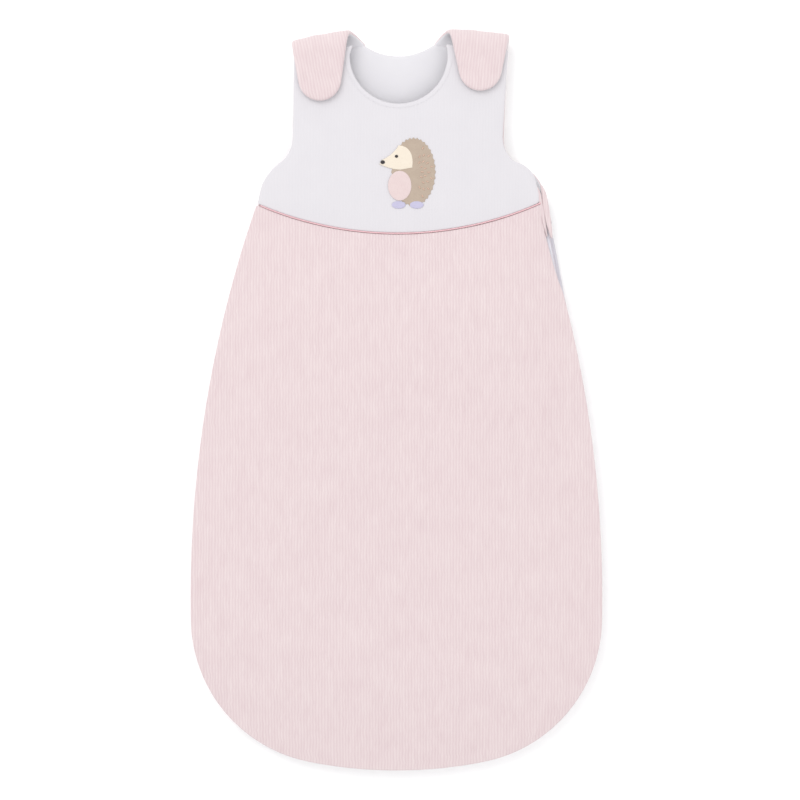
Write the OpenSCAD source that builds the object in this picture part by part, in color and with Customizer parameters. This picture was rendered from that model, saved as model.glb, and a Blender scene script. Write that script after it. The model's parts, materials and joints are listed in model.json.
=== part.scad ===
// Baby sleeping bag for 0 to 6 months, lying flat on its back.
// A padded front and back, shoulder straps that fold forward and snap to the bodice, and a zip that runs
// down one side and round the hem. X is across, Y runs from hem to shoulders, Z is up from the surface
// that the bag lies on. Lengths are in millimetres and angles in degrees.
// An outline angle is 0 straight down at the hem and 90 straight out at the side.

/* [Outline] */
// Length from the hem to the shoulder fold
bag_l = 700; // [694:1:706]
// Radius of the hem
hem_r = 422; // [416:1:430]
// Radius of the bottom corners
corner_r = 138; // [135:1:140]
// Radius of the long sides
side_r = 1130; // [1120:5:1140]
// Outline angle where the hem becomes a corner
hem_a = 11.4; // [11.2:0.1:11.6]
// Outline angle where a corner becomes a side
side_a = 88.8; // [88.6:0.1:89]
// Radius of the curved waist seam
waist_r = 333; // [325:1:340]
// Lowest point of the waist seam
waist_y = 156.4; // [154:0.2:158]

/* [Bodice] */
// Half the width between the armholes
arm_x = 100; // [98:0.5:101]
// How far the bodice sits towards the zip's side
bodice_dx = 2; // [1:0.5:3]
// Radius of the armhole's inside corner
arm_r = 30; // [28:1:31]
// Height at which that corner ends
arm_y = 247; // [245:1:249]
// Radius of the front neckline
neck_r = 50; // [48:1:51]
// Centre height of the front neckline
neck_y = 325; // [323:1:327]
// Radius of the back neckline
back_neck_r = 57; // [56:1:58]
// Centre height of the back neckline
back_neck_y = 383; // [382:1:384]

/* [Layers] */
// Outer fabric
shell_t = 0.8; // [0.6:0.1:1]
// Lining fabric
lining_t = 0.6; // [0.4:0.1:0.8]
// Back panel, all layers
back_t = 6.2; // [6:0.1:6.4]
// Front bodice, all layers
bodice_t = 5; // [4.8:0.1:5.2]
// Front skirt at its edge, all layers
rim_t = 5; // [4.8:0.1:5.2]
// Front skirt in the middle, all layers
skirt_t = 8; // [7:0.5:9]
// Space between front and back at the edge, which the zip bridges
side_gap = 11.6; // [11.4:0.1:12]
// Extra height of the front in the middle
crown = 10; // [7:0.5:10]

/* [Zip] */
// How far the zip lies inside the outline round the hem
zip_inset = 5; // [4.8:0.1:5.5]
// Radius of the zip's side stretch
zip_r = 2400; // [2300:20:2600]
// Height of each coil row, across the zip
coil_w = 2; // [1.8:0.1:2.1]
// Thickness of the coil
coil_t = 2.4; // [2:0.1:2.5]
// Gap between the two coil rows, where the slider's post runs
coil_gap = 1.6; // [1.5:0.1:1.8]
// Thickness of the zip tapes
tape_t = 0.8; // [0.6:0.1:0.9]
// Length of the pull
pull_l = 22; // [18:1:26]

/* [Straps] */
// Thickness of a strap, all layers
strap_t = 5.2; // [5:0.1:5.4]
// Radius of a strap's round end
strap_end_r = 20.5; // [19:0.5:21]
// Radius of the snap fastener's stud
stud_r = 2; // [1.8:0.1:2.2]

/* [Hidden] */
$fn = 64;

pink = [0.94, 0.85, 0.87];
white = [0.95, 0.95, 0.96];
batting = [0.98, 0.97, 0.94];
coral = [0.95, 0.66, 0.69];
taupe = [0.77, 0.70, 0.62];
cream = [0.95, 0.91, 0.85];
peach = [0.93, 0.75, 0.66];
lilac = [0.78, 0.76, 0.88];
black = [0.15, 0.13, 0.13];
metal = [0.80, 0.80, 0.82];

// ---- Outline -------------------------------------------------------------------------------------

function dir(a) = [sin(a), -cos(a)];
function flip(points) = [for (p = points) [-p.x, p.y]];
function reversed(points) = [for (i = [len(points) - 1:-1:0]) points[i]];
function tail(points) = [for (i = [1:len(points) - 1]) points[i]];
function arc(c, r, a0, a1, n) = [for (i = [0:n]) c + r * dir(a0 + (a1 - a0) * i / n)];
function angle_at_y(c, r, y) = acos((c.y - y) / r);
function bezier(a, b, c, n) = [for (i = [0:n])
    let (t = i / n) (1 - t) * (1 - t) * a + 2 * t * (1 - t) * b + t * t * c];

hem_c = [0, hem_r - bag_l / 2];
corner_c = hem_c + (hem_r - corner_r) * dir(hem_a);
side_c = corner_c - (side_r - corner_r) * dir(side_a);
function side_at(y) = side_c + side_r * dir(angle_at_y(side_c, side_r, y));

// A corner from outline angle a0, and the side above it up to height y, both inset by e.
function corner_and_side(e, a0, y) = concat(
    arc(corner_c, corner_r - e, a0, side_a, 10),
    tail(arc(side_c, side_r - e, side_a, angle_at_y(side_c, side_r, y), 8)));

// From the top of a side, round the underarm and up the armhole, which lies dx off centre.
function armhole(side, bend, dx) = let (
    c = [arm_x + dx + arm_r, arm_y],
    inner = c - arm_r * [cos(45), sin(45)])
    concat(tail(bezier(side, bend, inner, 6)),
        [for (i = [1:5]) c - arm_r * [cos(45 - 9 * i), sin(45 - 9 * i)]]);

// The zip makes the right side stand out further below the arm than the left.
left_top = side_at(192);
right_top = [142, 185];
right_y = 100;
right_hip = bezier(side_at(right_y), [146, 148], right_top, 8);
left_armhole = armhole(left_top, left_top + [-2.5, 20], -bodice_dx);
right_armhole = armhole(right_top, [141, 216], bodice_dx);

// Each shoulder fold runs from the armhole's end to the neck's.
left_fold = [[-99.5, 338.5], [-43, 349]];
right_fold = [[107, 344.4], [47.6, bag_l / 2]];
fold_r = 14; // the back panel ends this far short of the shoulder fold

waist_c = [1, waist_y + waist_r];
piping_gap = 1.5; // half the space between skirt and bodice that the piping fills
waist_left_a = -23.4;
waist_right_a = 24.6;
neck_c = [bodice_dx, neck_y];
back_neck_c = [bodice_dx, back_neck_y];
back_neck_a = 36; // half the angle that the back neckline spans

// A shoulder fold's line, moved r back from the fold.
function before(fold, r) = let (v = fold[1] - fold[0], n = [v.y, -v.x] / norm(v))
    [for (p = fold) p + (n.y > 0 ? -1 : 1) * r * n];

back_outline = concat(
    arc(hem_c, hem_r, -hem_a, hem_a, 8),
    tail(corner_and_side(0, hem_a, right_y)),
    tail(right_hip), right_armhole, before(right_fold, fold_r),
    arc(back_neck_c, back_neck_r, back_neck_a, -back_neck_a, 14),
    reversed(before(left_fold, fold_r)),
    flip(reversed(concat(tail(corner_and_side(0, hem_a, left_top.y)), left_armhole))));

bodice_outline = concat(
    arc(waist_c, waist_r - piping_gap, waist_left_a, waist_right_a, 16),
    right_armhole, before(right_fold, fold_r + 1),
    arc(neck_c, neck_r, 90, -90, 20),
    reversed(before(left_fold, fold_r + 1)),
    flip(reversed(left_armhole)));

// ---- Heights -------------------------------------------------------------------------------------

rim_z = back_t + side_gap;
rim_top = rim_z + rim_t;
zip_z = back_t + side_gap / 2;
bodice_top = rim_z + bodice_t;
tab_z = bodice_top + 0.5; // underside of the folded straps
tab_top = tab_z + strap_t;
rim_w = 14; // the edge that the zip is sewn to is flat
dome_w = 90; // the front rises over this distance from its edge
waist_w = 110; // and over this distance below the waist
full_t_w = 40; // its padding is at full thickness at this distance from the edge

// Distance from point p to the nearest edge of the skirt.
function edge_d(p) = let (
    q = [abs(p.x), p.y],
    v = q - corner_c,
    a = atan2(v.x, -v.y))
    a > hem_a && a < side_a ? corner_r - norm(v)
        : min(side_r - norm(q - side_c), hem_r - norm(q - hem_c));
function ease(t) = sin(90 * min(max(t, 0), 1));
function below_waist(p) = waist_c.y - sqrt(waist_r ^ 2 - (p.x - waist_c.x) ^ 2) - p.y;
function front_top(p) = rim_top
    + crown * ease((edge_d(p) - rim_w) / dome_w) * ease(below_waist(p) / waist_w);
function front_t(p) = rim_t + (skirt_t - rim_t) * ease((edge_d(p) - rim_w) / full_t_w);

// Surfaces of the front's layers at p: 0 inside, 1 and 2 either side of the wadding, 3 outside.
function front_z(p, level) = let (top = front_top(p), bottom = top - front_t(p))
    [bottom, bottom + lining_t, top - shell_t, top][level];

// ---- Fold line of the front flap -----------------------------------------------------------------

flap_from = right_hip[4];
flap_to_a = 38;
flap_to = flip([corner_c + corner_r * dir(flap_to_a)])[0];
flap_l = norm(flap_to - flap_from);
flap_dir = (flap_to - flap_from) / flap_l;
flap_n = [-flap_dir.y, flap_dir.x]; // towards the flap
flap_gap = 3; // between the flap and the rest of the front
tip_cut = 8; // their sharp tips are cut off by this much

// Points on the fold line, shifted by w towards the flap.
function fold_line(n, w) = [for (i = [0:n])
    flap_from + flap_dir * (tip_cut + (flap_l - 2 * tip_cut) * i / n) + flap_n * w];

skirt_outer = concat(
    flip(corner_and_side(0, flap_to_a + 3, 182)),
    arc(waist_c, waist_r + piping_gap, waist_left_a, waist_right_a, 14),
    [for (i = [7:-1:5]) right_hip[i]]);
flap_outer = concat(
    [for (i = [3:-1:0]) right_hip[i]],
    tail(reversed(corner_and_side(0, hem_a, right_y))),
    tail(arc(hem_c, hem_r, hem_a, -hem_a, 6)),
    tail(flip(arc(corner_c, corner_r, hem_a, flap_to_a - 3.5, 3))));

// ---- Run of the zip ------------------------------------------------------------------------------

zip_top = [134.5, 197];
zip_corner_r = corner_r - zip_inset;
// The side stretch ends at zip_top and runs smoothly into the corner.
zip_reach = zip_r - zip_corner_r;
zip_v = zip_top - corner_c;
zip_turn = acos((zip_reach ^ 2 + norm(zip_v) ^ 2 - zip_r ^ 2) / (2 * zip_reach * norm(zip_v)));
zip_a = atan2(zip_v.x, -zip_v.y) + zip_turn - 180;
zip_c = corner_c - zip_reach * dir(zip_a);
coil_top_y = 193.5;
fixed_zip_y = 147; // the fixed part of the front's zip ends here
flap_zip_y = 132; // and the flap's part starts here
zip_end_a = 36.5;
slider_y = 185.5;

// The zip's side stretch between heights y0 and y1, offset outwards by e.
function zip_side(e, y0, y1, n) =
    arc(zip_c, zip_r + e, angle_at_y(zip_c, zip_r, y0), angle_at_y(zip_c, zip_r, y1), n);

// The zip's line from height y on the side to outline angle a on the far corner, offset by e.
function zip_run(e, y, a) = concat(
    zip_side(e, y, zip_c.y - zip_r * cos(zip_a), 14),
    tail(arc(corner_c, zip_corner_r + e, zip_a, hem_a, 12)),
    tail(arc(hem_c, hem_r - zip_inset + e, hem_a, -hem_a, 8)),
    tail(flip(arc(corner_c, zip_corner_r + e, hem_a, a, 4))));
function zip_band(t, y, a) = concat(zip_run(t / 2, y, a), reversed(zip_run(-t / 2, y, a)));
function short_zip_band(t, y0, y1) =
    concat(zip_side(t / 2, y0, y1, 3), reversed(zip_side(-t / 2, y0, y1, 3)));

// Puts a child at height y on the zip: its X points outwards and its Y up along the zip.
module on_zip(y) {
    a = angle_at_y(zip_c, zip_r, y);
    p = zip_c + zip_r * dir(a);
    translate([p.x, p.y, zip_z]) rotate(a - 90) children();
}

// ---- Solids --------------------------------------------------------------------------------------

module slab(points, z0, z1) {
    translate([0, 0, z0]) linear_extrude(z1 - z0) polygon(points);
}

module disc(c, r, z0, z1) {
    translate([c.x, c.y, z0]) cylinder(h = z1 - z0, r = r);
}

// One layer of the front between two levels, in rows that each run from a point of outer to the same
// point of inner. The columns are closer together near outer, where the front is most curved.
module front_layer(outer, inner, low, high) {
    columns = 8;
    across = columns + 1;
    rows = len(outer);
    count = rows * across;
    plan = [for (j = [0:rows - 1]) for (i = [0:columns])
        let (s = pow(i / columns, 1.5)) outer[j] * (1 - s) + inner[j] * s];
    points = concat(
        [for (p = plan) [p.x, p.y, front_z(p, high)]],
        [for (p = plan) [p.x, p.y, front_z(p, low)]]);
    cells = [for (j = [0:rows - 2]) for (i = [0:columns - 1]) j * across + i];
    top = [for (k = cells) each [[k, k + across + 1, k + 1], [k, k + across, k + across + 1]]];
    bottom = [for (f = top) [f[2] + count, f[1] + count, f[0] + count]];
    rim = concat(
        [for (i = [0:columns - 1]) i],
        [for (j = [0:rows - 2]) j * across + columns],
        [for (i = [columns:-1:1]) (rows - 1) * across + i],
        [for (j = [rows - 1:-1:1]) j * across]);
    walls = [for (k = [0:len(rim) - 1]) let (a = rim[k], b = rim[(k + 1) % len(rim)])
        each [[a, b, b + count], [a, b + count, a + count]]];
    polyhedron(points, concat(top, bottom, walls));
}

module skirt_layer(low, high) {
    front_layer(skirt_outer, reversed(fold_line(len(skirt_outer) - 1, 0)), low, high);
}

module flap_layer(low, high) {
    front_layer(flap_outer, fold_line(len(flap_outer) - 1, flap_gap), low, high);
}

// ---- Back ----------------------------------------------------------------------------------------

module back_shell() {
    color(pink) slab(back_outline, 0, shell_t);
}

module back_wadding() {
    color(batting) slab(back_outline, shell_t, back_t - lining_t);
}

module back_lining() {
    color(white) slab(back_outline, back_t - lining_t, back_t);
}

// Joins front and back up the side that has no zip.
module side_seam() {
    color(pink) slab(
        flip(concat(
            corner_and_side(1.5, flap_to_a + 3, left_top.y),
            reversed(corner_and_side(4, flap_to_a + 3, left_top.y)))),
        back_t, rim_z);
}

// ---- Front skirt ---------------------------------------------------------------------------------

module skirt_shell() {
    color(pink) skirt_layer(2, 3);
}

module skirt_wadding() {
    color(batting) skirt_layer(1, 2);
}

module skirt_lining() {
    color(white) skirt_layer(0, 1);
}

module flap_shell() {
    color(pink) flap_layer(2, 3);
}

module flap_wadding() {
    color(batting) flap_layer(1, 2);
}

module flap_lining() {
    color(white) flap_layer(0, 1);
}

// Fabric-covered cord between skirt and bodice, with the flange that is sewn into their seam.
module waist_piping() {
    span = waist_right_a - waist_left_a - 1;
    color(coral) translate([waist_c.x, waist_c.y, 0]) rotate(waist_left_a - 89.5) {
        translate([0, 0, rim_top - 0.3]) rotate_extrude(angle = span, $fn = 360)
            translate([waist_r, 0]) circle(r = piping_gap - 0.2, $fn = 24);
        translate([0, 0, rim_z]) rotate_extrude(angle = span, $fn = 360)
            translate([waist_r - 0.3, 0]) square([0.6, rim_t - 0.6]);
    }
}

// ---- Front bodice --------------------------------------------------------------------------------

stud_at = [[-72.1, 300.8], [78.7, 310.2]]; // also the centres of the straps' round ends
washer_t = 0.8;
hair = 0.1; // clearance round a snap's parts and at the folds' ends

module bodice_layer(z0, z1) {
    difference() {
        slab(bodice_outline, z0, z1);
        for (c = stud_at) disc(c, stud_r + hair, z0 - 1, z1 + 1);
    }
}

module bodice_shell() {
    color(white) bodice_layer(bodice_top - shell_t, bodice_top);
}

module bodice_wadding() {
    color(batting) bodice_layer(rim_z + lining_t, bodice_top - shell_t);
}

module bodice_lining() {
    color(white) bodice_layer(rim_z, rim_z + lining_t);
}

// A stud with a flange on the outer fabric and a post through to its washer.
module bodice_stud(c) {
    color(white) {
        disc(c, stud_r, rim_z - washer_t, bodice_top + 1.4);
        disc(c, 5, bodice_top, bodice_top + 0.4);
    }
}

module bodice_stud_left() {
    bodice_stud(stud_at[0]);
}

module bodice_stud_right() {
    bodice_stud(stud_at[1]);
}

module stud_washers() {
    color(white) for (c = stud_at) difference() {
        disc(c, 5.5, rim_z - washer_t, rim_z);
        disc(c, stud_r + hair, rim_z - 2, rim_z + 1);
    }
}

// ---- Hedgehog motif ------------------------------------------------------------------------------

motif_at = [11, 212];
felt_t = 0.5;
motif_top = bodice_top + 2 * felt_t;

function ellipse(c, rx, ry, n) = [for (i = [0:n - 1]) c + [rx * cos(360 * i / n), ry * sin(360 * i / n)]];
// An egg-shaped coat whose edge has small points.
coat = [for (i = [0:71])
    let (a = 5 * i, r = 1 + (i % 2 == 0 ? 0.05 : 0)) motif_at + [5 + 20 * r * cos(a), 2 + 31 * r * sin(a)]];
face = concat(
    bezier(motif_at + [-9, 27], motif_at + [-14, 18], motif_at + [-25, 13], 6),
    bezier(motif_at + [-27, 9], motif_at + [-16, 4], motif_at + [-7, 4], 6),
    bezier(motif_at + [4, 6], motif_at + [6, 26], motif_at + [-9, 27], 8));

// Felt that lies on the bodice, and on the coat where the two overlap.
module on_coat(points) {
    difference() {
        slab(points, bodice_top, motif_top);
        slab(coat, bodice_top - 1, bodice_top + felt_t);
    }
}

module motif_back() {
    color(taupe) slab(coat, bodice_top, bodice_top + felt_t);
}

module motif_face() {
    color(cream) on_coat(face);
}

module motif_tummy() {
    color(pink) on_coat(ellipse(motif_at + [-8, -11], 11, 14, 40));
}

module motif_feet() {
    color(lilac) for (x = [-9, 8]) on_coat(ellipse(motif_at + [x, -29], 6.5, 3.5, 32));
}

module motif_eye_and_nose() {
    color(black) {
        disc(motif_at + [-11, 16.5], 1.5, motif_top, motif_top + 0.3);
        disc(motif_at + [-24, 11], 2, motif_top, motif_top + 0.3);
    }
}

// Embroidered dashes that fan out across the coat.
module motif_spines() {
    color(peach) for (row = [0:3]) for (i = [0:5]) {
        a = -62 + 24 * i + 12 * (row % 2);
        reach = 0.88 - 0.17 * row;
        if (reach * cos(a) > 0.25)
            translate([motif_at.x + 5 + 18 * reach * cos(a), motif_at.y + 2 + 28 * reach * sin(a)])
                translate([0, 0, bodice_top + felt_t]) rotate(a) cube([3, 0.7, 0.3]);
    }
}

// ---- Zip -----------------------------------------------------------------------------------------

back_coil_z = zip_z - coil_gap / 2 - coil_w;
front_coil_z = zip_z + coil_gap / 2;

module zip_tape_back() {
    color(lilac) slab(zip_band(tape_t, zip_top.y, zip_end_a), back_t, back_coil_z);
}

module zip_coil_back() {
    color(pink) slab(zip_band(coil_t, coil_top_y, zip_end_a), back_coil_z, back_coil_z + coil_w);
}

module zip_tape_front() {
    color(lilac) slab(short_zip_band(tape_t, zip_top.y, fixed_zip_y), front_coil_z + coil_w, rim_z);
}

module zip_coil_front() {
    color(pink) slab(short_zip_band(coil_t, coil_top_y, fixed_zip_y), front_coil_z, front_coil_z + coil_w);
}

module flap_zip_tape() {
    color(lilac) slab(zip_band(tape_t, flap_zip_y, flap_to_a - 4), front_coil_z + coil_w, rim_z);
}

module flap_zip_coil() {
    color(pink) slab(zip_band(coil_t, flap_zip_y, flap_to_a - 4), front_coil_z, front_coil_z + coil_w);
}

module zip_top_stops() {
    color(metal) for (z = [back_coil_z, front_coil_z])
        slab(short_zip_band(coil_t + 0.8, zip_top.y, coil_top_y + 0.3), z, z + coil_w);
}

// Holds the two coil rows together where the zip ends.
module zip_end_stop() {
    stop = function (e) arc(corner_c, zip_corner_r + e, zip_end_a + 0.2, zip_end_a + 2.2, 1);
    color(metal) slab(flip(concat(stop(1.8), reversed(stop(-1.8)))), back_coil_z, front_coil_z + coil_w);
}

// Folded fabric that closes the bag above the zip and covers the zip's top end.
module zip_guard() {
    color(pink) on_zip(zip_top.y) translate([-4, 1, -side_gap / 2]) cube([6, 13, side_gap]);
}

plate_t = 1.2;
slider_l = 11;
slider_w = 9.4;
channel = coil_t / 2 + 0.4; // from the zip's middle to a plate
pin_r = 0.7;
pin_x = channel + plate_t + 1.8;
pin_y = 1;

module rounded_plate(l, w, r, t) {
    corners = [[w / 2 - r, l / 2 - r], [r - w / 2, l / 2 - r], [r - w / 2, r - l / 2], [w / 2 - r, r - l / 2]];
    rotate([90, 0, 90]) rotate(90) linear_extrude(t)
        polygon([for (k = [0:3]) for (i = [0:4]) let (a = 90 * k + 22.5 * i) corners[k] + r * [cos(a), sin(a)]]);
}

// Two plates and a post that runs between the coil rows. Rails keep the coils in.
module zip_slider() {
    rail_h = 1.2;
    ear_t = 1.2;
    color(metal) on_zip(slider_y) difference() {
        union() {
            for (x = [channel, -channel - plate_t]) translate([x, 0, 0])
                rounded_plate(slider_l, slider_w, 2, plate_t);
            translate([-channel - 0.5, 2, -0.5]) cube([2 * channel + 1, 2.5, 1]);
            for (z = [slider_w / 2 - rail_h, -slider_w / 2], x = [tape_t, -channel - 0.5])
                translate([x, 2.2 - slider_l / 2, z]) cube([channel + 0.5 - tape_t, slider_l - 4.4, rail_h]);
            for (z = [1.7, -1.7 - ear_t]) translate([channel + plate_t - 0.5, pin_y - 1.5, z])
                cube([pin_x + 1.6 - channel - plate_t + 0.5, 3, ear_t]);
        }
        translate([pin_x, pin_y, -4]) cylinder(h = 8, r = pin_r + 0.08, $fn = 24);
    }
}

// A flat tab on a pin that turns in the slider's ears.
module zip_pull() {
    color(metal) on_zip(slider_y) translate([pin_x, pin_y, 0]) {
        translate([0, 0, -2.9]) cylinder(h = 5.8, r = pin_r, $fn = 24);
        translate([-0.7, -4, -1.5]) cube([1.4, 4.6, 3]);
        translate([-0.7, -pull_l, -3]) cube([1.4, pull_l - 3.6, 6]);
    }
}

// ---- Straps --------------------------------------------------------------------------------------

snap_r = 5.5; // socket
socket_t = 1.8;
cap_t = 0.8;

// A folded strap from its shoulder fold down to its round end.
function strap_outline(fold, c) = let (near = before(fold, fold_r))
    fold[0].x < fold[1].x
        ? concat([near[0]], arc(c, strap_end_r, -82, 80, 16), [near[1]])
        : concat([near[1]], arc(c, strap_end_r, -80, 82, 16), [near[0]]);

module strap_layer(side, z0, z1) {
    slab(strap_outline(side == 0 ? left_fold : right_fold, stud_at[side]), z0, z1);
}

module strap_shell(side) {
    color(pink) strap_layer(side, tab_top - shell_t, tab_top);
}

module strap_wadding(side) {
    c = stud_at[side];
    color(batting) difference() {
        strap_layer(side, tab_z + lining_t, tab_top - shell_t);
        disc(c, snap_r + hair, tab_z, tab_z + socket_t);
        disc(c, stud_r + hair, tab_z, tab_top);
        disc(c, snap_r + hair, tab_top - shell_t - cap_t, tab_top);
    }
}

module strap_lining(side) {
    color(white) difference() {
        strap_layer(side, tab_z, tab_z + lining_t);
        disc(stud_at[side], snap_r + hair, tab_z - 1, tab_z + 1);
    }
}

// The ring that the bodice's stud clicks into.
module strap_socket(side) {
    color(white) difference() {
        disc(stud_at[side], snap_r, tab_z, tab_z + socket_t);
        disc(stud_at[side], stud_r + 0.6, tab_z - 1, tab_z + 1.3);
    }
}

// The hidden cap under the outer fabric, with the post that holds the socket.
module strap_cap(side) {
    color(white) {
        disc(stud_at[side], snap_r, tab_top - shell_t - cap_t, tab_top - shell_t);
        disc(stud_at[side], stud_r, tab_z + socket_t, tab_top - shell_t);
    }
}

// The stretch of strap that bends over the shoulder, from the back panel up to the strap.
module strap_fold(fold) {
    v = fold[1] - fold[0];
    start = v.x > 0 ? fold[0] : fold[1];
    tilt = v.x > 0 ? atan2(v.y, v.x) : atan2(-v.y, -v.x);
    mid = tab_top / 2;
    color(pink) translate([start.x, start.y, mid]) rotate(tilt) translate([0, -fold_r, 0])
        rotate([90, 0, 90]) linear_extrude(norm(v)) intersection() {
            difference() {
                circle(r = mid);
                circle(r = mid - strap_t);
            }
            translate([hair / 2, -tab_top]) square([fold_r, 2 * tab_top]);
        }
}

module strap_left_shell() {
    strap_shell(0);
}

module strap_left_wadding() {
    strap_wadding(0);
}

module strap_left_lining() {
    strap_lining(0);
}

module strap_left_socket() {
    strap_socket(0);
}

module strap_left_cap() {
    strap_cap(0);
}

module strap_left_fold() {
    strap_fold(left_fold);
}

module strap_right_shell() {
    strap_shell(1);
}

module strap_right_wadding() {
    strap_wadding(1);
}

module strap_right_lining() {
    strap_lining(1);
}

module strap_right_socket() {
    strap_socket(1);
}

module strap_right_cap() {
    strap_cap(1);
}

module strap_right_fold() {
    strap_fold(right_fold);
}

back_shell();
back_wadding();
back_lining();
side_seam();
skirt_shell();
skirt_wadding();
skirt_lining();
bodice_shell();
bodice_wadding();
bodice_lining();
waist_piping();
zip_guard();
zip_tape_back();
zip_coil_back();
zip_tape_front();
zip_coil_front();
zip_top_stops();
zip_end_stop();
bodice_stud_left();
bodice_stud_right();
stud_washers();
motif_back();
motif_face();
motif_tummy();
motif_feet();
motif_eye_and_nose();
motif_spines();
flap_shell();
flap_wadding();
flap_lining();
flap_zip_tape();
flap_zip_coil();
strap_left_shell();
strap_left_wadding();
strap_left_lining();
strap_left_socket();
strap_left_cap();
strap_left_fold();
strap_right_shell();
strap_right_wadding();
strap_right_lining();
strap_right_socket();
strap_right_cap();
strap_right_fold();
zip_slider();
zip_pull();
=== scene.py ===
import json
import math

import bmesh
import bpy
import numpy as np
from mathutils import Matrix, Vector, noise
from mathutils.bvhtree import BVHTree
from mathutils.geometry import delaunay_2d_cdt


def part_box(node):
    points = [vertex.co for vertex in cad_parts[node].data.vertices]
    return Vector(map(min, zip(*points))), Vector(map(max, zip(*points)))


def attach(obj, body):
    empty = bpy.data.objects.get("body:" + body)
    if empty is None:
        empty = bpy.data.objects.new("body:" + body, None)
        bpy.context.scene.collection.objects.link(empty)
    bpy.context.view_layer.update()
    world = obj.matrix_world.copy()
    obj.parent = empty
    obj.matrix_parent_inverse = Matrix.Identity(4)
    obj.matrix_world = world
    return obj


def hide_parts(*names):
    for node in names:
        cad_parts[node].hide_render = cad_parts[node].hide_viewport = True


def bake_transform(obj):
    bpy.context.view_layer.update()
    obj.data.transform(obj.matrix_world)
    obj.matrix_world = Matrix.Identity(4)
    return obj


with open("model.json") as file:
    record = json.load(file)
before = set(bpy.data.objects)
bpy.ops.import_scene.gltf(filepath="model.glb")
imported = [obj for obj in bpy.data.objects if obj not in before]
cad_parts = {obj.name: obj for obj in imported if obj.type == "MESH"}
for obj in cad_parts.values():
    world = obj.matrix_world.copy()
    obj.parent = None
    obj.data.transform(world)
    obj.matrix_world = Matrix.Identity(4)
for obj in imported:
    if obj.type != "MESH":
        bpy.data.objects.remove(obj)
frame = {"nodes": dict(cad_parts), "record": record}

MM = 0.001
UP = np.array([0.0, 0.0, 1.0])
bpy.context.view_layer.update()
nodes = frame["nodes"]


# ---- Outlines, read from the CAD nodes -----------------------------------------------------------


def unit(v):
    return v / np.maximum(np.linalg.norm(v, axis=-1, keepdims=True), 1e-12)


def left_of(v):
    return np.stack([-v[..., 1], v[..., 0]], -1)


def points_of(name):
    return np.array([v.co[:] for v in nodes[name].data.vertices])


def signed_area(loop):
    after = np.roll(loop, -1, 0)
    return float((loop[:, 0] * after[:, 1] - after[:, 0] * loop[:, 1]).sum() / 2)


def outlines(name):
    """The boundaries of a flat node's upper faces, the outer ones anticlockwise, largest first."""
    mesh = nodes[name].data
    place = [(round(v.co.x, 6), round(v.co.y, 6)) for v in mesh.vertices]
    edges = set()
    for face in mesh.polygons:
        if face.normal.z > 0.5:
            ring = [place[i] for i in face.vertices]
            edges.update(zip(ring, ring[1:] + ring[:1]))
    onward = {a: b for a, b in edges if (b, a) not in edges and a != b}
    loops = []
    while onward:
        start, here = next(iter(sorted(onward.items())))
        del onward[start]
        loop = [start]
        while here != start:
            loop.append(here)
            here = onward.pop(here)
        loops.append(np.array(loop))
    return sorted(loops, key=signed_area, reverse=True)


def centreline(name):
    """The middle of a band: halfway between its two long sides."""
    band = outlines(name)[0]
    lengths = np.linalg.norm(np.roll(band, -1, 0) - band, axis=1)
    ends = np.argsort(lengths)[:2]
    band = np.roll(band, -(ends.min() + 1), 0)
    half = len(band) // 2
    return (band[:half] + band[half:][::-1]) / 2


def smooth(points, step, closed=True, corner=25):
    """A finer line through the same points, curved except where the line turns by a corner."""
    n = len(points)
    fine = []
    for i in range(n if closed else n - 1):
        p0, p1, p2, p3 = (points[(i + k) % n] for k in (-1, 0, 1, 2))
        ahead = unit(p2 - p1)
        if (not closed and i == 0) or unit(p1 - p0) @ ahead < math.cos(math.radians(corner)):
            p0 = 2 * p1 - p2
        if (not closed and i == n - 2) or unit(p3 - p2) @ ahead < math.cos(math.radians(corner)):
            p3 = 2 * p2 - p1
        count = max(1, round(np.linalg.norm(p2 - p1) / step))
        for t in np.arange(count) / count:
            fine.append(p1 + t / 2 * (p2 - p0 + t * (2 * p0 - 5 * p1 + 4 * p2 - p3
                                                    + t * (3 * (p1 - p2) + p3 - p0))))
    return np.array(fine if closed else fine + [points[-1]])


def length_of(points):
    """How long an open line is."""
    return np.linalg.norm(np.diff(points, axis=0), axis=1).sum()


def even(points, step):
    """The same open line with its points an equal distance apart."""
    along = np.concatenate([[0], np.cumsum(np.linalg.norm(np.diff(points, axis=0), axis=1))])
    at = np.linspace(0, along[-1], max(2, round(along[-1] / step) + 1))
    return np.stack([np.interp(at, along, points[:, k]) for k in range(points.shape[1])], 1)


def inset(loop, by):
    """The loop moved inwards. Points that would cross over at a sharp corner are spread out instead."""
    behind, ahead = unit(loop - np.roll(loop, 1, 0)), unit(np.roll(loop, -1, 0) - loop)
    middle = unit(behind + ahead)
    moved = loop + by * left_of(middle) / np.maximum(0.5, (middle * ahead).sum(1))[:, None]
    good = edge_distance(moved, loop) > 0.9 * by
    index = np.arange(len(loop))
    for k in (0, 1):
        moved[:, k] = np.interp(index, index[good], moved[good, k], period=len(loop))
    return moved


def inside(points, loop):
    x, y = points[:, :1], points[:, 1:2]
    a, b = loop, np.roll(loop, -1, 0)
    crosses = (a[:, 1] > y) != (b[:, 1] > y)
    at = a[:, 0] + (y - a[:, 1]) * (b[:, 0] - a[:, 0]) / np.where(b[:, 1] == a[:, 1], 1, b[:, 1] - a[:, 1])
    return ((crosses & (x < at)).sum(1) % 2).astype(bool)


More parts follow.
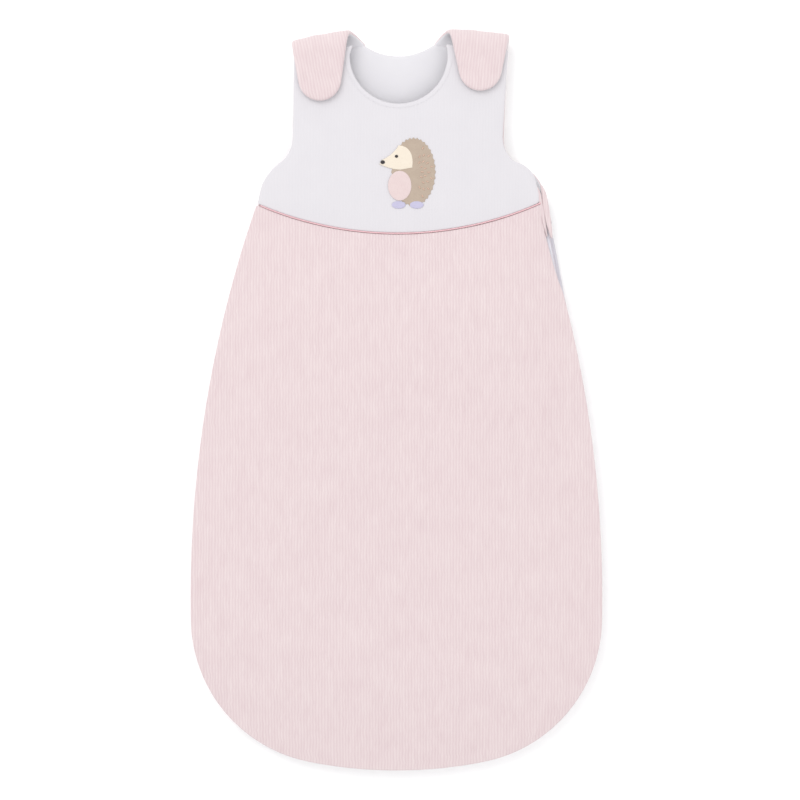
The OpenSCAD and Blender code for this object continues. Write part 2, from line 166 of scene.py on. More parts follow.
def edge_distance(points, line, closed=True):
    """How far each point is from a line."""
    a = line if closed else line[:-1]
    along = (np.roll(line, -1, 0) if closed else line[1:]) - a
    best = np.full(len(points), np.inf)
    for p, v in zip(a, along):
        t = np.clip((points - p) @ v / max(v @ v, 1e-18), 0, 1)
        best = np.minimum(best, ((points - p - t[:, None] * v) ** 2).sum(1))
    return np.sqrt(best)


def ripple(points, size, seed=0.0):
    """Smooth noise over plan points, from -1 to 1, with features about size across."""
    return np.array([noise.noise((x / size, y / size, seed)) for x, y in points])


def tree_over(objects):
    mesh = bmesh.new()
    for o in objects:
        mesh.from_mesh(o.data)
    return BVHTree.FromBMesh(mesh)


def height_on(tree, plan, facing=1):
    """Height of a surface seen from above (facing 1) or below (-1) at plan points."""
    z = []
    for x, y in plan:
        hit = tree.ray_cast(Vector((x, y, facing)), Vector((0, 0, -facing)))[0]
        # A point just off the surface takes the height of the nearest edge.
        z.append((hit or tree.find_nearest(Vector((x, y, 40 * MM * facing)))[0]).z)
    return np.array(z)


# ---- Materials -----------------------------------------------------------------------------------


high_key = 1.3  # how much brighter the studio is than one that shows white cloth as white


def linear(srgb):
    """The linear colour that looks like these levels, from 0 to 255, under the bright studio lights."""
    return tuple(((c / 255 / 12.92) if c <= 10 else ((c / 255 + 0.055) / 1.055) ** 2.4) / high_key
                 for c in srgb) + (1,)


def new_node(material, kind, sockets=None, **settings):
    node = material.node_tree.nodes.new("ShaderNode" + kind)
    for key, value in settings.items():
        setattr(node, key, value)
    for key, value in (sockets or {}).items():
        if isinstance(value, bpy.types.NodeSocket):
            material.node_tree.links.new(value, node.inputs[key])
        else:
            node.inputs[key].default_value = value
    return node


def math_node(material, operation, a, b=0.0):
    return new_node(material, "Math", {0: a, 1: b}, operation=operation).outputs[0]


def base_material(name, roughness, **fixed):
    material = bpy.data.materials.new(name)
    material.use_nodes = True
    shader = material.node_tree.nodes["Principled BSDF"]
    shader.inputs["Roughness"].default_value = roughness
    for key, value in fixed.items():
        shader.inputs[key.replace("_", " ")].default_value = value
    return material, shader


def finish_material(material, shader, height, strength, depth, light, dark, share):
    """Colours a surface between dark and light by share, and embosses it by height."""
    colour = new_node(material, "Mix", {"Factor": share, 6: dark, 7: light}, data_type="RGBA")
    bump = new_node(material, "Bump", {"Height": height, "Strength": strength, "Distance": depth})
    material.node_tree.links.new(colour.outputs[2], shader.inputs["Base Color"])
    material.node_tree.links.new(bump.outputs[0], shader.inputs["Normal"])
    return material


def wave(material, where, pitch, direction, distortion=0.0, detail_scale=1.0):
    """Stripes a pitch apart: the Wave texture has 20 / (2 pi) of them for each unit of its scale."""
    return new_node(material, "TexWave", {
        "Vector": where, "Scale": math.tau / 20 / pitch, "Distortion": distortion,
        "Detail": 2.0, "Detail Scale": detail_scale,
    }, bands_direction=direction, wave_profile="SIN").outputs["Fac"]


def cloud(material, where, size, detail=2.0, stretch=(1, 1, 1)):
    """Noise with features about size across, stretched along an axis by its number."""
    scaled = new_node(material, "Mapping", {
        "Vector": where, "Scale": tuple(1 / size / s for s in stretch)}).outputs[0]
    return new_node(material, "TexNoise", {"Vector": scaled, "Scale": 1.0, "Detail": detail}).outputs[0]


def on_cloth(material):
    """Where a point is on the cloth, stored with the mesh, so that the knit moves with it."""
    return new_node(material, "Attribute", attribute_name="cloth").outputs["Vector"]


def ribbed_knit(name, light, dark, pitch, strength, groove_shade_and_streaks):
    """Fine vertical ribs of small loops, uneven from rib to rib as a soft yarn makes them. Their grooves are
    painted darker and their crests lighter, as painted shade and painted highlight, under random mottle and
    streaks.
    """
    m, shader = base_material(name, 0.92, Sheen_Weight=0.25, Sheen_Roughness=0.6,
                              Specular_IOR_Level=0.15)
    where = on_cloth(m)
    ribs = wave(m, where, pitch, "X", distortion=2.4, detail_scale=0.9)
    loops = wave(m, where, 1.5 * MM, "Y", distortion=1.2, detail_scale=2.0)
    dashes = cloud(m, where, 2.2 * MM, 1.0, (1, 7, 1))
    streaks = cloud(m, where, 3.6 * MM, 2.0, (1, 5, 1))
    mottle = cloud(m, where, 26 * MM, 3.0)
    fuzz = cloud(m, where, 0.35 * MM, 2.0)
    broken = math_node(m, "MULTIPLY", ribs, math_node(m, "ADD", 0.35, dashes))
    height = math_node(m, "ADD", broken, math_node(m, "MULTIPLY", loops, 0.22))
    height = math_node(m, "ADD", height, math_node(m, "MULTIPLY", fuzz, 0.25))
    # The tone follows the ribs' height: painted shade in the grooves, painted highlight on the crests.
    tone = math_node(m, "MULTIPLY_ADD", broken, groove_shade_and_streaks)
    tone.node.inputs[2].default_value = 0.45 - groove_shade_and_streaks
    tone = math_node(m, "ADD", tone, math_node(m, "MULTIPLY", mottle, 0.35))
    tone = math_node(m, "ADD", tone, math_node(m, "MULTIPLY", streaks, groove_shade_and_streaks))
    tone.node.use_clamp = True
    return finish_material(m, shader, height, strength, 0.35 * MM, light, dark, tone)


def plain_knit(name, light, dark, size=0.8 * MM, strength=0.3):
    m, shader = base_material(name, 0.9, Sheen_Weight=0.2, Sheen_Roughness=0.6,
                              Specular_IOR_Level=0.15)
    where = on_cloth(m)
    loops = math_node(m, "MULTIPLY", wave(m, where, size, "X", 0.8), wave(m, where, size * 1.3, "Y", 0.8))
    height = math_node(m, "ADD", loops, cloud(m, where, size / 2))
    mottle = cloud(m, where, 30 * MM, 3.0)
    return finish_material(m, shader, height, strength, 0.2 * MM, light, dark, mottle)


def felt_cloth(name, light, dark):
    m, shader = base_material(name, 0.95, Sheen_Weight=0.4, Sheen_Roughness=0.5,
                              Specular_IOR_Level=0.1)
    where = on_cloth(m)
    fibres = cloud(m, where, 0.7 * MM, 4.0, (1.6, 1, 1))
    tone = math_node(m, "ADD", math_node(m, "MULTIPLY", fibres, 0.5),
                     math_node(m, "MULTIPLY", cloud(m, where, 6 * MM), 0.5))
    return finish_material(m, shader, fibres, 0.7, 0.35 * MM, light, dark, tone)


def woven_tape(name, light, dark):
    m, shader = base_material(name, 0.75, Sheen_Weight=0.1, Specular_IOR_Level=0.25)
    where = new_node(m, "TexCoord").outputs["Object"]
    twill = wave(m, where, 0.9 * MM, "DIAGONAL", 0.3)
    tone = math_node(m, "MULTIPLY_ADD", twill, 0.5)
    tone.node.inputs[2].default_value = 0.3
    return finish_material(m, shader, twill, 0.5, 0.15 * MM, light, dark, tone)


def moulded(name, light, dark, roughness, metallic=0.0, grain=0.5 * MM, strength=0.08):
    m, shader = base_material(name, roughness, Metallic=metallic)
    where = new_node(m, "TexCoord").outputs["Object"]
    speckle = cloud(m, where, grain, 3.0)
    worn = cloud(m, where, 4 * MM, 2.0)
    rough = new_node(m, "MapRange", {"Value": worn, "To Min": roughness * 0.8, "To Max": roughness * 1.25})
    m.node_tree.links.new(rough.outputs[0], shader.inputs["Roughness"])
    return finish_material(m, shader, speckle, strength, 0.1 * MM, light, dark, worn)


# The knits' dark colours are the ribs' painted groove shade as well as their random mottle and streaks.
pink_knit = ribbed_knit("pink_knit", linear((240, 224.5, 225)), linear((221, 198, 202)), 2.8 * MM, 0.55, 0.5)
white_knit = ribbed_knit("white_knit", linear((233, 230, 234)), linear((222, 219, 224)), 2.8 * MM, 0.2, 0.14)
lining = plain_knit("lining", linear((238, 236, 240)), linear((230, 228, 233)))
piping = plain_knit("piping", linear((252, 210, 215)), linear((248, 196, 203)), 0.5 * MM, 0.6)
tape = woven_tape("zip_tape", linear((241, 239, 245)), linear((228, 225, 236)))
coil = moulded("zip_coil", linear((244, 226, 232)), linear((236, 212, 220)), 0.4)
metal = moulded("zip_metal", linear((214, 214, 218)), linear((180, 180, 186)), 0.3, 1.0)
plastic = moulded("snap_plastic", linear((246, 246, 248)), linear((238, 238, 241)), 0.35)
taupe = felt_cloth("felt_taupe", linear((206, 190, 172)), linear((180, 161, 146)))
cream = felt_cloth("felt_cream", linear((250, 240, 224)), linear((240, 226, 208)))
pink_felt = felt_cloth("felt_pink", linear((238, 221, 219)), linear((229, 206, 206)))
lilac = felt_cloth("felt_lilac", linear((214, 210, 234)), linear((190, 186, 216)))
black_thread = plain_knit("thread_black", linear((88, 82, 84)), linear((52, 47, 50)), 0.4 * MM, 0.5)
peach_thread = plain_knit("thread_peach", linear((236, 204, 184)), linear((222, 184, 164)), 0.4 * MM, 0.5)
white_thread = plain_knit("thread_white", linear((244, 242, 245)), linear((232, 229, 234)), 0.4 * MM, 0.5)


# ---- Making pieces -------------------------------------------------------------------------------


def add_mesh(name, points, faces, materials, kinds=None, cloth=None):
    mesh = bpy.data.meshes.new(name)
    mesh.from_pydata([tuple(p) for p in points], [], faces)
    for material in materials:
        mesh.materials.append(material)
    if kinds is not None:
        mesh.polygons.foreach_set("material_index", kinds)
    mesh.polygons.foreach_set("use_smooth", [True] * len(faces))
    store_cloth(mesh, points if cloth is None else cloth)
    obj = bpy.data.objects.new(name, mesh)
    bpy.context.scene.collection.objects.link(obj)
    return obj


def store_cloth(mesh, where):
    layer = mesh.attributes.get("cloth") or mesh.attributes.new("cloth", "FLOAT_VECTOR", "POINT")
    layer.data.foreach_set("vector", np.asarray(where, dtype=np.float32).ravel())


def coordinates(obj):
    flat = np.empty(3 * len(obj.data.vertices))
    obj.data.vertices.foreach_get("co", flat)
    return flat.reshape(-1, 3)


def place(obj, points):
    obj.data.vertices.foreach_set("co", np.asarray(points).ravel())
    obj.data.update()


class Pad:
    """A closed cushion-like panel: two faces, outer and inner, that meet in a rounded edge."""

    near_in, near_up = 0.3, 0.72  # the near ring, as shares of the edge's width and the full height

    def __init__(self, name, loops, edge, step, materials):
        self.name, self.plan, self.side, self.round = name, [], [], []
        self.faces, self.kinds = [], []
        loops = [loop if signed_area(loop) > 0 else loop[::-1] for loop in loops]
        for loop in loops:
            self._add_loop(loop, edge, step)
        self.plan = np.concatenate(self.plan)
        self.side = np.concatenate(self.side)
        self.round = np.concatenate(self.round)
        self.from_edge = np.minimum.reduce([edge_distance(self.plan, loop) for loop in loops])
        self.materials = materials

    def _add_loop(self, loop, edge, step):
        start = sum(len(p) for p in self.plan)
        n = len(loop)
        near, far = inset(loop, self.near_in * edge), inset(loop, edge)
        low, high = far.min(0), far.max(0)
        grid = np.stack(np.meshgrid(np.arange(low[0], high[0], step), np.arange(low[1], high[1], step)), -1)
        grid = grid.reshape(-1, 2)
        grid = grid[inside(grid, far)]
        grid = grid[edge_distance(grid, far) > 0.6 * step]
        given = np.concatenate([far, grid])
        found, _, triangles, origins, _, _ = delaunay_2d_cdt(
            [Vector(p) for p in given], [], [list(range(n))], 1, 1e-7)
        found = np.array([p[:] for p in found])
        at = {given_id: k for k, ids in enumerate(origins) for given_id in ids}
        m = len(found)
        # Vertices: edge, then for each face the near ring, the far ring and the grid.
        self.plan += [loop, near, found, near, found]
        self.side += [np.zeros(n), np.ones(n + m), -np.ones(n + m)]
        full = np.ones(m)
        self.round += [np.zeros(n), np.full(n, self.near_up), full, np.full(n, self.near_up), full]
        for kind, base in ((0, start + n), (1, start + 2 * n + m)):
            for i in range(n):
                j = (i + 1) % n
                edge_quad = [start + i, start + j, base + j, base + i]
                ring_quad = [base + i, base + j, base + n + at[j], base + n + at[i]]
                if at[i] == at[j]:
                    ring_quad.pop()
                for quad in (edge_quad, ring_quad):
                    self.faces.append(quad if kind == 0 else quad[::-1])
                    self.kinds.append(0 if quad is edge_quad else kind)
            for t in triangles:
                face = [base + n + i for i in t]
                self.faces.append(face if kind == 0 else face[::-1])
                self.kinds.append(kind)

    def build(self, outer, inner, lift=0.0):
        """Sets the heights of both faces over the plan points, and makes the mesh. A lift from 0 to 1
        brings the edge up to the outer face, where the panel is sewn to its neighbour."""
        middle, half = (outer + inner) / 2, (outer - inner) / 2
        full = np.where(self.side > 0, self.round + (1 - self.round) * lift, self.round)
        z = middle + half * np.where(self.side == 0, lift, self.side * full)
        points = np.column_stack([self.plan, z])
        self.obj = add_mesh(self.name, points, self.faces, self.materials, self.kinds)
        mesh = bmesh.new()
        mesh.from_mesh(self.obj.data)
        bmesh.ops.join_triangles(mesh, faces=mesh.faces[:], cmp_materials=True,
                                 angle_face_threshold=0.7, angle_shape_threshold=0.7)
        mesh.to_mesh(self.obj.data)
        mesh.free()
        return self.obj


def puff(pad, cap, pressure=4.0, frames=20):
    """Inflates a pad as cloth held at its seam, then limits how far each point has moved."""
    obj, scene = pad.obj, bpy.context.scene
    before = coordinates(obj)
    seam = obj.vertex_groups.new(name="seam")
    seam.add([int(i) for i in np.flatnonzero(pad.side == 0)], 1.0, "REPLACE")
    modifier = obj.modifiers.new("Cloth", "CLOTH")
    settings = modifier.settings
    settings.vertex_group_mass = "seam"
    settings.quality = 4
    settings.mass = 0.2
    settings.use_pressure = True
    settings.uniform_pressure_force = pressure
    settings.effector_weights.gravity = 0
    modifier.point_cache.frame_start = 1
    modifier.point_cache.frame_end = frames
    for number in range(1, frames + 1):
        scene.frame_set(number)
    shown = obj.evaluated_get(bpy.context.evaluated_depsgraph_get())
    after = np.array([v.co[:] for v in shown.data.vertices])
    obj.modifiers.remove(modifier)
    obj.vertex_groups.remove(seam)
    scene.frame_set(1)
    move = after - before
    length = np.linalg.norm(move, axis=1, keepdims=True)
    limit = np.maximum(np.asarray(cap).reshape(-1, 1), 1e-6)
    place(obj, before + move / np.maximum(length, 1e-9) * limit * np.tanh(length / limit))


def subdivide(obj, levels=1):
    """Applies a subdivision surface, and keeps the cloth's own coordinates."""
    modifier = obj.modifiers.new("Smooth", "SUBSURF")
    modifier.levels = modifier.render_levels = levels
    depsgraph = bpy.context.evaluated_depsgraph_get()
    mesh = bpy.data.meshes.new_from_object(
        obj.evaluated_get(depsgraph), preserve_all_data_layers=True, depsgraph=depsgraph)
    obj.modifiers.remove(modifier)
    obj.data = mesh
    mesh.name = obj.name
    mesh.polygons.foreach_set("use_smooth", [True] * len(mesh.polygons))


def stretch_blend(obj, a, b, start, end):
    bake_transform(obj)


def grid_faces(rows, columns, closed):
    """Faces of a grid of points, row after row, whose columns may close into a tube."""
    wrap = columns if closed else columns - 1
    return [
        [r * columns + c, r * columns + (c + 1) % columns,
         (r + 1) * columns + (c + 1) % columns, (r + 1) * columns + c]
        for r in range(rows - 1) for c in range(wrap)]


def tube(name, lines, radius, sides, material):
    """Round threads along one or more lines of points, closed at their ends."""
    points, faces = [], []
    for line in lines:
        start, n = len(points), len(line)
        ahead = unit(np.gradient(line, axis=0))
        across = unit(np.cross(ahead, UP + 1e-3))
        third = np.cross(ahead, across)
        size = np.full(n, radius)
        size[[0, -1]] = 0.35 * radius
        for k in range(n):
            for s in range(sides):
                a = math.tau * s / sides
                points.append(line[k] + size[k] * (math.cos(a) * across[k] + math.sin(a) * third[k]))
        faces += [[start + i for i in f] for f in grid_faces(n, sides, True)]
        faces.append([start + s for s in range(sides)][::-1])
        faces.append([start + (n - 1) * sides + s for s in range(sides)])
    return add_mesh(name, points, faces, [material])


def stitches(name, line, tree, pitch, length, radius, material):
    """A row of thread stitches along a plan line, lying on a surface."""
    path = even(line, pitch)
    ahead = unit(np.gradient(path, axis=0))
    along = np.linspace(-0.5, 0.5, 5)
    threads = []
    for p, v in zip(path[:-1] + np.diff(path, axis=0) / 2, ahead[:-1]):
        plan = p + np.outer(along, v * length)
        z = height_on(tree, plan) + (1 - 4 * along ** 2) * radius
        threads.append(np.column_stack([plan, z]))
    return tube(name, threads, radius, 6, material)


def bag_piece(obj, slot, *replaced):
    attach(obj, "bag")
    if replaced:
        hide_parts(*replaced)


# ---- The panels' plan ----------------------------------------------------------------------------

back_loop = outlines("back_shell")[0]
bodice_loop = outlines("bodice_shell")[0]

# The waist is an arc: the circle through the top of the piping.
top_of_piping = points_of("waist_piping")
top_of_piping = top_of_piping[top_of_piping[:, 2] > top_of_piping[:, 2].max() - 0.05 * MM, :2]
fit = np.linalg.lstsq(np.column_stack([2 * top_of_piping, np.ones(len(top_of_piping))]),
                      (top_of_piping ** 2).sum(1), rcond=None)[0]
waist_c = fit[:2]
waist_r = math.sqrt(fit[2] + waist_c @ waist_c)
seam_gap = 0.35 * MM  # from the waist's line to the edge of each panel, so the piping shows between


def below_waist(points):
    """How far plan points are below the waist."""
    return np.linalg.norm(points - waist_c, axis=1) - waist_r


def drawn_in(loop):
    """The front's right edge stands back from the back's, below the arm and up the armhole."""
    heights = np.array([100, 115, 140, 150, 165, 205, 214, 224, 300, 318]) * MM
    by = np.array([0, 2.2, 4.2, 5.0, 6.0, 6.0, 2.4, 1.7, 1.7, 0]) * MM
    right = loop[:, 0] > 0.09
    loop = loop.copy()
    loop[right, 0] -= np.interp(loop[right, 1], heights, by)
    return loop


def skirt_loop(front_loop):
    """The front's outline below the waist, closed along the waist."""
    halvings, arc_points = 40, 40
    low = below_waist(front_loop) > seam_gap
    n = len(front_loop)
    first = next(i for i in range(n) if low[i] and not low[i - 1])
    run = [i % n for i in range(first, first + n) if low[i % n]]

    def crossing(a, b):
        for _ in range(halvings):
            middle = (a + b) / 2
            if below_waist(middle[None])[0] > seam_gap:
                a = middle
            else:
                b = middle
        return a

    start = crossing(front_loop[run[0]], front_loop[run[0] - 1])
    end = crossing(front_loop[run[-1]], front_loop[(run[-1] + 1) % n])
    angles = [math.atan2(*(p - waist_c)[::-1]) for p in (end, start)]
    arc = [waist_c + (waist_r + seam_gap) * np.array([math.cos(a), math.sin(a)])
           for a in np.linspace(angles[0], angles[1], arc_points)]
    return np.array([front_loop[i] for i in run] + arc)


at_waist = below_waist(bodice_loop) > -2 * MM
bodice_loop = drawn_in(bodice_loop)
bodice_loop[at_waist] = waist_c + (waist_r - seam_gap) * unit(bodice_loop[at_waist] - waist_c)

# The neckline's turned edge stands a little into the opening, at a share of the neckline's radius.
neck_c, neck_r, neck_share = np.array([0.002, 0.325]), 50 * MM, 0.92
at_neck = np.abs(np.linalg.norm(bodice_loop - neck_c, axis=1) - neck_r) < 1 * MM
bodice_loop[at_neck] = neck_c + (bodice_loop[at_neck] - neck_c) * neck_share
neck = bodice_loop[at_neck]
neck = neck[np.argsort(neck[:, 0])]

# ---- Folds ---------------------------------------------------------------------------------------

joints = {j["name"]: j for j in frame["record"]["behaviour"]["joints"]}
flap_joint = joints["flap_fold"]
fold_at = np.array(flap_joint["pos_m"])
fold_dir = unit(np.array(flap_joint["axis"]))
to_flap = unit(np.cross(UP, fold_dir))
middle_of_flap = points_of("flap_shell").mean(0)
if to_flap @ (middle_of_flap - fold_at) < 0:
    to_flap = -to_flap
bend_before, bend_after = 10 * MM, 60 * MM  # distances on each side of the fold, passed to stretch_blend
flap_blend = (fold_at - bend_before * to_flap, fold_at + bend_after * to_flap)

# ---- Back ----------------------------------------------------------------------------------------

back_z = (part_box("back_shell")[0].z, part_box("back_lining")[1].z)
back = Pad("back_panel", [smooth(back_loop, 5 * MM)], 3 * MM, 6 * MM, [pink_knit, lining])
back_soft = 0.5 * MM * ripple(back.plan, 45 * MM, 3) * np.clip(back.from_edge / (30 * MM), 0, 1)
back_obj = back.build(np.full(len(back.plan), back_z[1]) + back_soft,
                      np.full(len(back.plan), back_z[0] + 0.2 * MM))
neck_low = 0.25  # above this height and between the straps, the back's edge is its neck edge
neck_left, neck_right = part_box("strap_left_shell")[1].x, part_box("strap_right_shell")[0].x


def back_material(face):
    """The back's outer cloth faces down, so the pad's two faces swap materials. Pink takes in the edge,
    but along the neck the lining wraps over it."""
    x, y, _ = face.center
    if any(back.side[i] == 0 for i in face.vertices):
        return 1 if y > neck_low and neck_left < x < neck_right else 0
    return 1 - face.material_index


back_obj.data.polygons.foreach_set("material_index", [back_material(f) for f in back_obj.data.polygons])
puff(back, np.where(back.side < 0, 0.15 * MM, 1.6 * MM))
subdivide(back_obj)
co = coordinates(back_obj)
co[:, 2] = np.maximum(co[:, 2], 0.05 * MM)
place(back_obj, co)
bag_piece(back_obj, "pink_knit", "back_shell", "back_wadding", "back_lining")

# ---- Front skirt, in one with its flap -----------------------------------------------------------

skirt_tree = tree_over([nodes["skirt_shell"], nodes["flap_shell"]])
skirt_under = tree_over([nodes["skirt_lining"], nodes["flap_lining"]])
skirt_edge = smooth(skirt_loop(drawn_in(smooth(back_loop, 9 * MM))), 4.5 * MM)
skirt = Pad("front_skirt", [skirt_edge], 3.5 * MM, 5 * MM, [pink_knit, lining])
puckers = np.exp(-skirt.from_edge / (9 * MM)) * ripple(skirt.plan, 7 * MM, 5)
gathers = np.exp(-below_waist(skirt.plan) / (38 * MM)) * ripple(skirt.plan * [1, 0.16], 13 * MM, 8)
relief = (0.9 * MM * ripple(skirt.plan * [1, 0.6], 70 * MM, 1) + 0.35 * MM * puckers + 0.5 * MM * gathers)
relief *= np.clip(skirt.from_edge / (6 * MM), 0, 1)
skirt_obj = skirt.build(height_on(skirt_tree, skirt.plan) + relief - 0.3 * MM,
                        height_on(skirt_under, skirt.plan, -1) + 0.5 * MM,
                        lift=0.75 * np.exp(-np.abs(below_waist(skirt.plan)) / (4 * MM)))
puff(skirt, np.where(skirt.side > 0, 1.8 * MM, 1.0 * MM))
subdivide(skirt_obj)
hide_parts("skirt_shell", "skirt_wadding", "skirt_lining",
            "flap_shell", "flap_wadding", "flap_lining")
stretch_blend(skirt_obj, "bag", "front_flap", *flap_blend)

# ---- Front bodice --------------------------------------------------------------------------------

bodice_z = (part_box("bodice_lining")[0].z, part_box("bodice_shell")[1].z)
bodice = Pad("front_bodice", [smooth(bodice_loop, 4 * MM)], 2.5 * MM, 5 * MM, [white_knit, lining])
neck_d = edge_distance(bodice.plan, neck, closed=False)
hem_line = np.exp(-((neck_d - 4.5 * MM) / (1.1 * MM)) ** 2)
tab_centres = [(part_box(f"bodice_stud_{s}")[0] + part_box(f"bodice_stud_{s}")[1]) / 2 for s in ("left", "right")]
under_tab = np.minimum.reduce([np.linalg.norm(bodice.plan - np.array(c[:2]), axis=1) for c in tab_centres])
free = np.clip((under_tab - 30 * MM) / (25 * MM), 0, 1)
waist_pull = np.exp(below_waist(bodice.plan) / (26 * MM)) * ripple(bodice.plan * [1, 0.2], 15 * MM, 4)
relief = free * (0.6 * MM * ripple(bodice.plan, 60 * MM, 2) + 0.4 * MM * waist_pull)
relief *= np.clip(bodice.from_edge / (6 * MM), 0, 1)
bodice_obj = bodice.build(bodice_z[1] - 0.4 * MM + relief - 0.5 * MM * hem_line,
                          np.full(len(bodice.plan), bodice_z[0] + 0.3 * MM),
                          lift=0.75 * np.exp(-np.abs(below_waist(bodice.plan)) / (4 * MM)))
puff(bodice, np.where(bodice.side > 0, (0.1 + 1.5 * free) * MM, 0.5 * MM))
subdivide(bodice_obj)
bag_piece(bodice_obj, "white_knit", "bodice_shell", "bodice_wadding", "bodice_lining")
bodice_tree = tree_over([bodice_obj])

inner_ring = inset(smooth(bodice_loop, 2 * MM), 4.5 * MM)
neck_run = inner_ring[edge_distance(inner_ring, neck[1:-1], closed=False) < 4.9 * MM]
neck_stitching = stitches("neck_stitching", neck_run[np.argsort(neck_run[:, 0])], bodice_tree,
                          2.6 * MM, 1.9 * MM, 0.2 * MM, white_thread)
bag_piece(neck_stitching, "white_knit")

# ---- Straps --------------------------------------------------------------------------------------


def down_the_tab(tip):
    """The tab's points in order, from the fold's start side round to its end side."""
    centre = tip.mean(0)
    centre[1] = tip[:, 1].min()
    return tip[np.argsort(-np.arctan2(tip[:, 1] - centre[1], tip[:, 0] - centre[0]))]


def strap(side, centre, dimples):
    """One strap: from inside the back panel round the shoulder's fold to its round end. Each dimple
    has its place from the snap's centre, its size and its depth, in mm."""
    joint = joints[f"strap_{side}_fold"]
    body = f"strap_{side}"
    along = unit(np.array(joint["axis"][:2]))
    along = along if along[0] > 0 else -along
    outward = left_of(along)
    tab = outlines(f"{body}_shell")[0]
    ring = points_of(f"{body}_fold")
    axis_z = joint["pos_m"][2]
    thick = (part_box(f"{body}_shell")[1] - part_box(f"{body}_lining")[0]).z
    radius = axis_z - thick / 2
    u0, near, far = (ring[:, :2] @ along).min(), (tab @ outward).max(), (ring[:, :2] @ outward).max()
    width = np.ptp(ring[:, :2] @ along)
    round_it = math.pi * radius
    u, v = tab @ along - u0, round_it + near - tab @ outward
    hidden = 9 * MM
    tip = np.column_stack([u, v])
    tip = tip[v > round_it + 0.3 * MM]
    # Towards the neck the shoulder spreads out to meet the back's neckline.
    arm_edge = np.array([[3 * MM, -hidden], [0.5 * MM, 0], [0, round_it / 2]])
    neck_edge = np.array([[-8 * MM, -hidden], [-11 * MM, 0], [-7.2 * MM, 0.15 * round_it],
                          [-3.2 * MM, 0.33 * round_it], [0, round_it / 2]])
    first, last = (arm_edge, neck_edge) if side == "left" else (neck_edge, arm_edge)
    last = np.array([width, 0]) + last[::-1] * [-1, 1]
    flat = smooth(np.concatenate([first, down_the_tab(tip), last]), 3.5 * MM)
    pad = Pad(f"{body}_cloth", [flat], 2.2 * MM, 3 * MM, [pink_knit, lining])
    plan = pad.plan
    dents = np.zeros(len(plan))
    for dx, dy, size, depth in dimples:
        dent = np.array(centre[:2]) + np.array([dx, dy]) * MM
        at = np.array([dent @ along - u0, round_it + near - dent @ outward])
        dents += depth * MM * np.exp(-(((plan - at) / (size * MM)) ** 2).sum(1))
    half = np.full(len(plan), thick / 2 - 0.1 * MM)
    at_fold = np.exp(-((plan[:, 1] - round_it / 2) / (0.4 * round_it)) ** 2)
    creases = 0.5 * MM * at_fold * ripple(plan * [1, 0.3], 9 * MM, 6)
    sunk = np.clip((plan[:, 1] + hidden) / hidden, 0.35, 1)
    outer = (half + 0.35 * MM * ripple(plan, 18 * MM, 9) + creases) * sunk - dents
    obj = pad.build(outer, -half * sunk)
    puff(pad, np.where(pad.side > 0, 0.7 * MM, 0.15 * MM))
    subdivide(obj)
    flat_points = coordinates(obj)
    u, v, h = flat_points.T
    angle = np.clip(v / radius, 0, math.pi)
    reach = near + np.where(v < 0, v, 0) + (radius + h) * np.sin(angle) - np.maximum(v - round_it, 0)
    z = axis_z - (radius + h) * np.cos(angle)
    z = np.where(v < 0, axis_z - radius - h, z)
    plan_xy = np.outer(u + u0, along) + np.outer(reach, outward)
    place(obj, np.column_stack([plan_xy, np.maximum(z, 0.1 * MM)]))
    store_cloth(obj.data, np.column_stack([u, -v, h]))
    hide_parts(f"{body}_shell", f"{body}_wadding", f"{body}_lining", f"{body}_fold")
    foot = joint["pos_m"][:2]
    within = 0.4 * MM  # a distance inside the fold, passed to stretch_blend
    stretch_blend(obj, "bag", body, (*foot, axis_z - radius + within), (*foot, axis_z + radius - within))


strap("left", tab_centres[0], [(-13, -1, 3.5, 1.6), (-16, -7, 3, 1.0), (14, 1, 3.5, 1.5), (0, 0, 6, 0.3)])
strap("right", tab_centres[1], [(-16, 0, 3.5, 1.6), (-17, -6, 3, 0.9), (2, 11, 3.5, 1.4), (0, 0, 6, 0.3)])

# ---- Zip -----------------------------------------------------------------------------------------


line_step = 0.25 * MM  # between the points of the zip's line
tape_rows_every = 10  # of those points, the ones that the tape's mesh uses
tape_flat = 4.6 * MM  # how far the tape lies flat beside the teeth
wire = 0.34 * MM  # the coil's nylon, as a radius
coil_lean = 0.2  # how far each turn leans along the tape, as a share of the pitch


def whole_line(*names):
    """The middle of the zip's bands joined end to end, smooth and evenly spaced, from the top down."""
    parts = [centreline(n) for n in names]
    parts = [p if p[0, 1] > p[-1, 1] else p[::-1] for p in parts]
    return even(smooth(np.concatenate(parts), 2 * MM, closed=False), line_step)


def tape_piece(name, line, z0, z1, flange):
    """A woven tape that stands on edge at the teeth and lies flat under the panel's edge."""
    line = line[::tape_rows_every]
    across = -left_of(unit(np.gradient(line, axis=0)))
    across *= 1 if across[0, 0] > 0 else -1
    height = z1 - z0
    # Up the standing part: how far across, in mm, and how high, as a share.
    profile = [(0, 0), (0.05, 0.3), (0.05, 0.7), (0, 1)]
    rows = []
    for p, n in zip(line, across):
        row = [(*(p + n * a * MM), z0 + b * height) for a, b in profile]
        row += [(*(p + n * flange * k / 3), z1) for k in (1, 2, 3)]
        rows += row
    columns = len(profile) + 3
    obj = add_mesh(name, rows, grid_faces(len(line), columns, False), [tape])
    solid = obj.modifiers.new("Thickness", "SOLIDIFY")
    solid.thickness, solid.offset = 0.5 * MM, 0
    return obj


def coil_piece(name, line, z, half_width, half_height, lean):
    """One row of the zip's teeth: a spring of nylon that runs along the tape's edge."""
    pitch = 1.5 * MM
    turns = len(line) * line_step / pitch
    ahead = unit(np.gradient(line, axis=0))
    across = left_of(ahead)
    at = np.linspace(0, len(line) - 1, int(turns * 8))
    phase = at * line_step / pitch * math.tau
    index = at.astype(int)
    base = line[index] + across[index] * (half_width * np.cos(phase))[:, None]
    base = base + ahead[index] * (lean * pitch * np.sin(phase))[:, None]
    return tube(name, [np.column_stack([base, z + half_height * np.sin(phase)])], wire, 5, coil)


